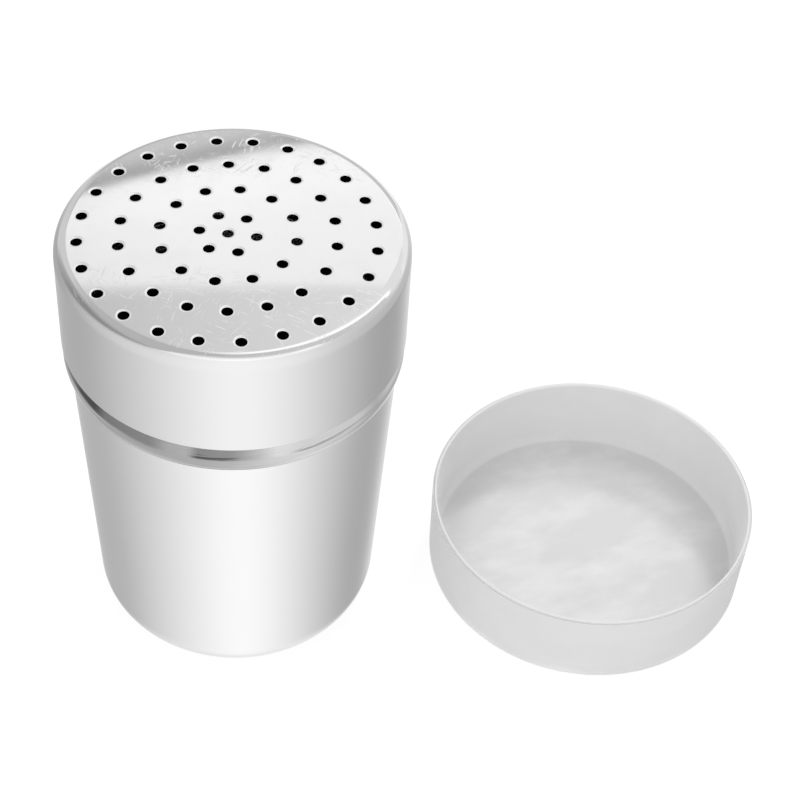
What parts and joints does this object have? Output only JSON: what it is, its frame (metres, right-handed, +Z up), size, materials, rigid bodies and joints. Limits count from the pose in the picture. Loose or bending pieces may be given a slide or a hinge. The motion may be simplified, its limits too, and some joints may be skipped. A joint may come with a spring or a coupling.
{
  "type": "spice shaker",
  "caption": "Tapered steel shaker cup with a perforated push-on lid, and a shallow plastic dust cap lying open side up beside it.",
  "frame": {"origin": "middle of the ring that the cup stands on", "axes": "+Z up along the shaker, +X towards the side where the dust cap lies"},
  "size_m": [0.1511, 0.0826, 0.1028],
  "materials": {
    "cup_steel": "satin drawn steel, polished stop bead and neck",
    "lid_steel": "satin skirt, bright panel with fine scratches and burnished dimples",
    "cap_plastic": "milky translucent moulded plastic, softly uneven"
  },
  "bodies": {
    "cup": {"shaker_cup": "cup_steel"},
    "lid": {"perforated_lid": "lid_steel"},
    "cap": {"dust_cap": "cap_plastic"}
  },
  "joints": [
    {"name": "lid_pull", "type": "slide", "parent": "cup", "child": "lid", "axis": [0, 0, 1], "range_m": [0, 0.04]},
    {"name": "cap_lift", "type": "slide", "parent": "cup", "child": "cap", "axis": [0, 0, 1], "range_m": [0, 0.11]}
  ]
}
